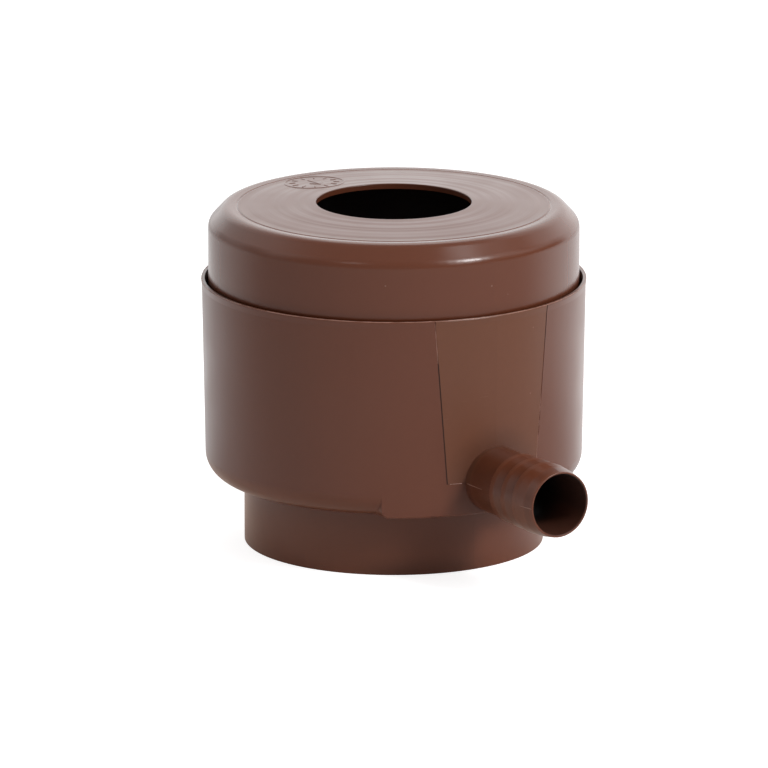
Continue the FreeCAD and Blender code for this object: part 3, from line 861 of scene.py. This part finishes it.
def make_lamp(name, azimuth, elevation, distance, sides, power):
    """A soft oblong lamp that looks at the middle of the object."""
    data = bpy.data.lights.new(name, "AREA")
    data.shape = "RECTANGLE"
    data.size, data.size_y = sides
    data.energy = power
    lamp = bpy.data.objects.new(name, data)
    middle = Vector((0.0, 0.0, AIM_HEIGHT))
    way = toward(VIEW_AZIMUTH + math.radians(azimuth), math.radians(elevation))
    lamp.location = middle + way * distance
    lamp.rotation_mode = "QUATERNION"
    lamp.rotation_quaternion = (-way).to_track_quat("-Z", "Y")
    bpy.context.scene.collection.objects.link(lamp)


def insert_edge(height):
    """Half the width of the mould insert's outline at a height."""
    share = (height - TAIL_HEIGHT) / (RIM_HEIGHT - TAIL_HEIGHT)
    return INSERT_FOOT + (INSERT_TOP - INSERT_FOOT) * share


def add_ring_flash(material):
    """Flash and burrs round the rim and round the tail's mouth."""
    radius = RIM_RADIUS - FLASH_INSET
    height = RIM_HEIGHT - FLASH_SUNK
    grow("rim_flash", make_rim_flash_tree(), "housing_plastic", Radius=radius, Height=height,
         Thickness=0.17 * MM, Seed=3.0, Material=material)
    grow("rim_burrs", make_rim_burr_tree(), "housing_plastic", Radius=radius - 0.1 * MM, Height=height,
         Length=1.3 * MM, Thickness=0.19 * MM, Share=0.11, Seed=5.0, Material=material)
    to_tail = Matrix.Translation((0.0, 0.0, TAIL_HEIGHT)) @ Matrix.Rotation(QUARTER_TURN, 4, "Y")
    grow("lip_flash", make_rim_flash_tree(), "housing_plastic", to_tail, Radius=LIP_RADIUS - 0.2 * MM,
         Height=TAIL_MOUTH - 0.14 * MM, Thickness=0.13 * MM, Seed=17.0, Material=material)


def add_line_flash(material):
    """Flash along the tail's parting line and beside the mould insert's outline, on both sides."""
    housing = frame["nodes"]["housing"]
    inward, outside = (-1.0, 0.0, 0.0), (WALL_START_OFF, 0.0, 0.0)
    for side, sign in (("near", -1.0), ("far", 1.0)):
        for end, first, last in TAIL_FLASH:
            name = f"tail_flash_{end}_{side}"
            tree = make_line_flash_tree(name, (first, 0.0, TAIL_HEIGHT), (last, 0.0, TAIL_HEIGHT),
                                        (0.0, -sign, 0.0), (0.0, sign * TAIL_START_OFF, 0.0))
            grow(name, tree, "housing_plastic", Carrier=housing, Material=material,
                 Thickness=0.12 * MM, Seed=7.0, Low=0.3, High=0.6)
        name = f"insert_flash_{side}"
        high, low = INSERT_FLASH[side]
        tree = make_line_flash_tree(name, (0.0, sign * insert_edge(high), high),
                                    (0.0, sign * insert_edge(low), low), inward, outside)
        grow(name, tree, "housing_plastic", Carrier=housing, Material=material,
             Thickness=0.16 * MM, Seed=11.0, Low=0.34, High=0.6)
        name = f"foot_flash_{side}"
        outer, inner = FOOT_FLASH
        tree = make_line_flash_tree(name, (0.0, sign * outer, TAIL_HEIGHT), (0.0, sign * inner, TAIL_HEIGHT),
                                    inward, outside)
        grow(name, tree, "housing_plastic", Carrier=housing, Material=material,
             Thickness=0.18 * MM, Seed=13.0, Low=0.2, High=0.55)


def add_dial(material):
    """Raised date dial at the back of the cover's top."""
    centre = toward(DIAL_AZIMUTH, 0.0) * DIAL_DISTANCE + Vector((0.0, 0.0, COVER_TOP))
    grow("date_dial", make_dial_tree(centre), "cover_plastic", Carrier=frame["nodes"]["cover"],
         Material=material, Radius=DIAL_RADIUS, Ticks=12.0, Line=0.4 * MM, Sunk=0.22 * MM)


bpy.context.scene.view_settings.view_transform = "Standard"
make_camera()
make_surroundings()
make_floor()
make_lamp("key", azimuth=53.0, elevation=36.0, distance=2.0, sides=(0.36, 0.52), power=14.8)
cover_plastic = make_cover_plastic()
# The flash's pale colour is partly a painted highlight along the rim, the tail's lip and the moulding lines
edge_plastic = make_edge_plastic()
dress("housing", make_housing_plastic())
dress("cover", cover_plastic)
add_ring_flash(edge_plastic)
add_line_flash(edge_plastic)
add_dial(cover_plastic)
